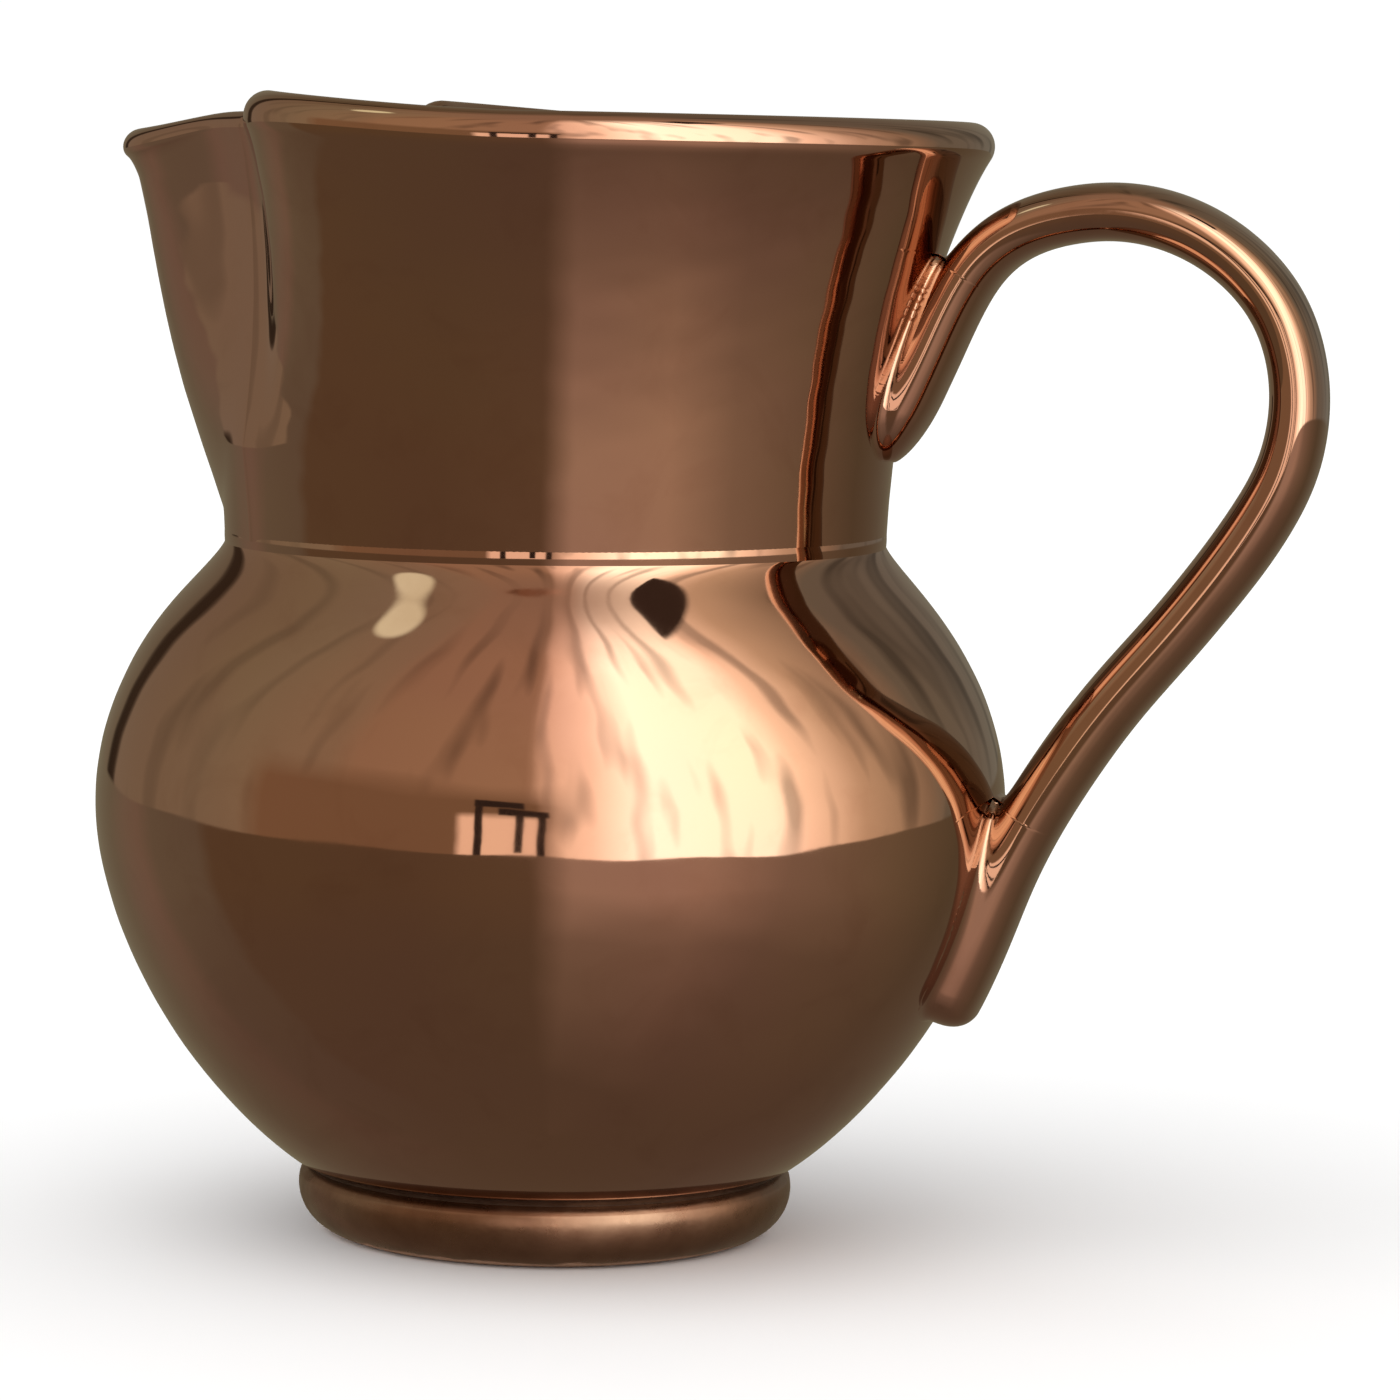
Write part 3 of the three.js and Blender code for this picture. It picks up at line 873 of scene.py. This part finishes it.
PIECES = (
    (bowl, "lustre_glaze", ("bowl",)),
    (foot_ring, "satin_lustre", ("foot_ring",)),
    (foot_seam, "slip", ("foot_slip_joint",)),
    (waist_seam, "slip", ("waist_slip_joint",)),
    (collar_and_spout, "lustre_glaze", ("collar", "spout", "spout_slip_joint")),
    (handle, "lustre_glaze", ("handle", "handle_upper_slip_joint", "handle_lower_slip_joint")),
)
for make, slot_name, nodes_replaced in PIECES:
    made = make()
    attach(made, "root")
    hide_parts(*nodes_replaced)

# ---- camera ----
FRONT_AZIMUTH = 15.0  # the camera stands this far round from -Y towards +X
CAMERA_PLACE = Vector((163.9, -611.7, 124.0)) * MM + Vector((AXIS_X, AXIS_Y, 0))
CAMERA_YAW = 1.544
CAMERA_PITCH = 5.56
CAMERA_ROLL = 1.146
CAMERA_LENS = 140.6  # in mm, for a 36 mm sensor


def make_camera():
    data = bpy.data.cameras.new("camera")
    data.sensor_width = 36
    data.lens = CAMERA_LENS
    data.clip_start = 0.05
    data.clip_end = 30
    camera = bpy.data.objects.new("camera", data)
    bpy.context.scene.collection.objects.link(camera)
    turn = (
        Matrix.Rotation(math.radians(FRONT_AZIMUTH - CAMERA_YAW), 4, "Z")
        @ Matrix.Rotation(math.radians(90 - CAMERA_PITCH), 4, "X")
        @ Matrix.Rotation(math.radians(CAMERA_ROLL), 4, "Z")
    )
    camera.matrix_world = Matrix.Translation(CAMERA_PLACE) @ turn
    bpy.context.scene.camera = camera


# ---- stage: a pale floor, a soft sun, and a studio surround that only reflections see ----
def make_floor():
    bpy.ops.mesh.primitive_circle_add(vertices=96, radius=9, fill_type="NGON", location=(0, 0, 0))
    floor = bpy.context.object
    floor.name = "floor"
    material, nodes = new_material("pale_floor")
    surface = nodes.add(
        "ShaderNodeBsdfPrincipled",
        inputs={"Base Color": (0.9, 0.9, 0.9, 1), "Roughness": 0.9, "Specular IOR Level": 0.0},
    )
    nodes.add("ShaderNodeOutputMaterial", inputs={0: surface.outputs[0]})
    floor.data.materials.append(material)
    floor.visible_glossy = False


# Colours round the horizon by azimuth: 0 is towards the camera, more is to its right.
LOWER_SURROUND = (
    (-180, (0.11, 0.115, 0.085)),
    (-146, (0.12, 0.13, 0.105)),
    (-134, (0.15, 0.15, 0.135)),
    (-126, (0.16, 0.155, 0.145)),
    (-118, (0.13, 0.145, 0.13)),
    (-99, (0.125, 0.14, 0.13)),
    (-94, (0.105, 0.097, 0.074)),
    (-40, (0.104, 0.094, 0.073)),
    (-5, (0.118, 0.106, 0.086)),
    (5, (0.35, 0.34, 0.345)),
    (38, (0.36, 0.345, 0.34)),
    (62, (0.22, 0.215, 0.205)),
    (95, (0.15, 0.15, 0.13)),
    (124, (0.09, 0.092, 0.07)),
    (150, (0.10, 0.105, 0.085)),
    (180, (0.11, 0.115, 0.085)),
)
UPPER_SURROUND = (
    (-180, (0.12, 0.125, 0.10)),
    (-152, (0.12, 0.125, 0.10)),
    (-150, (0.03, 0.026, 0.02)),
    (-144, (0.03, 0.026, 0.02)),
    (-142, (0.17, 0.17, 0.145)),
    (-98, (0.22, 0.25, 0.225)),
    (-60, (0.27, 0.275, 0.24)),
    (-52, (0.31, 0.28, 0.235)),
    (-6, (0.36, 0.32, 0.27)),
    (-1, (0.95, 0.95, 0.95)),
    (10, (1.3, 1.4, 1.45)),
    (24, (2.0, 2.6, 2.9)),
    (56, (1.7, 2.2, 2.45)),
    (66, (1.25, 1.35, 1.4)),
    (84, (0.6, 0.61, 0.57)),
    (108, (0.27, 0.27, 0.24)),
    (118, (0.15, 0.185, 0.185)),
    (150, (0.13, 0.155, 0.15)),
    (180, (0.12, 0.125, 0.10)),
)
# straight down and straight up
BELOW = (0.092, 0.088, 0.080)
ABOVE = (0.28, 0.26, 0.23)
HORIZON = -7.0  # in front; it climbs towards the back
HORIZON_CLIMB = 2.2
FOLD_SCALE = 6.0
FOLD_STRETCH = 0.0035  # how little the folds of cloth change with height
SURROUND_STRENGTH = 1.8
SURROUND_TINT = (1.0, 0.81, 0.675, 1)

# boxes seen in the surround: azimuth and half width, elevation and half height, soft edge, colour
SHAPES = (
    (-40, 36, 3, 10, 8, (0.20, 0.17, 0.13)),
    (-13, 9, -1, 8, 2, (0.95, 0.95, 0.95)),
    (-13, 6, 12.5, 1.2, 0.5, (0.03, 0.028, 0.03)),
    (-7, 6, 9.5, 1.0, 0.5, (0.03, 0.028, 0.03)),
    (-18, 0.8, 2, 9, 0.4, (0.03, 0.028, 0.03)),
    (-8, 0.8, 2, 8, 0.4, (0.03, 0.028, 0.03)),
    (-2.5, 0.8, 1, 8, 0.4, (0.03, 0.028, 0.03)),
    (72, 13, 70, 4, 1, (0.04, 0.035, 0.035)),
)
# soft lights: azimuth, elevation, half width, how soft its edge is, colour
SOFT_LIGHTS = ((-84, 61, 3.5, 2, (0.75, 1.1, 1.05)),)


def direction(azimuth, elevation):
    """A direction from the jug, azimuth in degrees to the right of the camera's direction."""
    turn = math.radians(azimuth + FRONT_AZIMUTH - 90)
    level = math.cos(math.radians(elevation))
    return (level * math.cos(turn), level * math.sin(turn), math.sin(math.radians(elevation)))


def by_azimuth(nodes, azimuth, stops):
    share = nodes.span(azimuth, -math.pi, math.pi)
    return nodes.ramp(share, [((degrees + 180) / 360, colour) for degrees, colour in stops])


def multiplied(nodes, colour, value):
    return nodes.blend(1.0, colour, nodes.blend(value, (0, 0, 0, 1), (1, 1, 1, 1)), "MULTIPLY")


def boxed(nodes, value, middle, half, edge):
    """1 where a value is within a half width of a middle, falling to 0 over a soft edge."""
    off = nodes.math("ABSOLUTE", nodes.math("SUBTRACT", value, middle))
    return nodes.span(off, half, half + edge, 1.0, 0.0)


def surround_material():
    material, nodes = new_material("studio_surround")
    position = nodes.add("ShaderNodeNewGeometry").outputs["Position"]
    outward = nodes.vector("NORMALIZE", position)
    ahead = nodes.vector("DOT_PRODUCT", outward, direction(0, 0))
    right = nodes.vector("DOT_PRODUCT", outward, direction(90, 0))
    up = nodes.add("ShaderNodeSeparateXYZ", inputs={0: outward}).outputs[2]
    azimuth = nodes.math("ARCTAN2", right, ahead)
    turn = nodes.math("MULTIPLY", azimuth, 180 / math.pi)
    rise = nodes.math("MULTIPLY", nodes.math("ARCSINE", up), 180 / math.pi)

    lower = by_azimuth(nodes, azimuth, LOWER_SURROUND)
    drop = nodes.span(rise, -18.0, -36.0, 0.0, 0.62)
    drop = nodes.math("ADD", drop, nodes.span(rise, -36.0, -75.0, 0.0, 0.36))
    lower = nodes.blend(drop, lower, (*BELOW, 1))

    upper = by_azimuth(nodes, azimuth, UPPER_SURROUND)
    # hanging folds of cloth in front of the light
    stretched = nodes.math("MULTIPLY", rise, FOLD_STRETCH)
    fold_place = nodes.add("ShaderNodeCombineXYZ", inputs={0: azimuth, 1: stretched})
    folds = nodes.noise(fold_place.outputs[0], FOLD_SCALE, 1.2, 0.5)
    calm = nodes.span(azimuth, -1.0, -0.2, 0.78, 0.5)
    folds = nodes.span(folds, 0.33, 0.48, calm, 1.0)
    upper = multiplied(nodes, upper, folds)
    ceiling = nodes.span(rise, 60.0, 84.0, kind="SMOOTHSTEP")
    upper = nodes.blend(ceiling, upper, (*ABOVE, 1))
    for middle, half, height, half_height, edge, tint in SHAPES:
        wide = boxed(nodes, turn, middle, half, edge)
        high = boxed(nodes, rise, height, half_height, edge)
        upper = nodes.blend(nodes.math("MULTIPLY", wide, high), upper, (*tint, 1))
    climb = nodes.math("MULTIPLY", nodes.math("SUBTRACT", 1.0, ahead), HORIZON_CLIMB)
    lit = nodes.span(nodes.math("SUBTRACT", rise, climb), HORIZON - 0.3, HORIZON + 0.3)
    colour = nodes.blend(lit, lower, upper)

    for light_azimuth, elevation, half, edge, tint in SOFT_LIGHTS:
        towards = nodes.vector("DOT_PRODUCT", outward, direction(light_azimuth, elevation))
        outer, inner = math.cos(math.radians(half + edge)), math.cos(math.radians(half))
        share = nodes.span(towards, outer, inner, kind="SMOOTHSTEP")
        colour = nodes.blend(share, colour, (*tint, 1))
    colour = nodes.blend(1.0, colour, SURROUND_TINT, "MULTIPLY")
    glow = nodes.add("ShaderNodeEmission", inputs={0: colour, 1: SURROUND_STRENGTH})
    nodes.add("ShaderNodeOutputMaterial", inputs={0: glow.outputs[0]})
    return material


def make_surround():
    bpy.ops.mesh.primitive_uv_sphere_add(segments=48, ring_count=24, radius=8, location=(0, 0, 0))
    surround = bpy.context.object
    surround.name = "studio_surround"
    surround.data.materials.append(surround_material())
    surround.visible_camera = False
    surround.visible_diffuse = False
    surround.visible_shadow = False
    surround.visible_transmission = False


def make_sun():
    data = bpy.data.lights.new("soft_sun", "SUN")
    data.energy = 0.9
    data.angle = math.radians(70)
    sun = bpy.data.objects.new("soft_sun", data)
    bpy.context.scene.collection.objects.link(sun)
    sun.rotation_euler = (math.radians(32), math.radians(-20), 0)
    sun.visible_glossy = False


def make_world():
    world = bpy.data.worlds.new("pale_studio")
    bpy.context.scene.world = world
    world.use_nodes = True
    nodes = Nodes(world.node_tree)
    sky = nodes.add("ShaderNodeBackground", inputs={0: (1.02, 1.02, 1.02, 1), 1: 1.0})
    nodes.add("ShaderNodeOutputWorld", inputs={0: sky.outputs[0]})


make_camera()
make_floor()
make_surround()
make_sun()
make_world()
bpy.context.scene.view_settings.view_transform = "Standard"
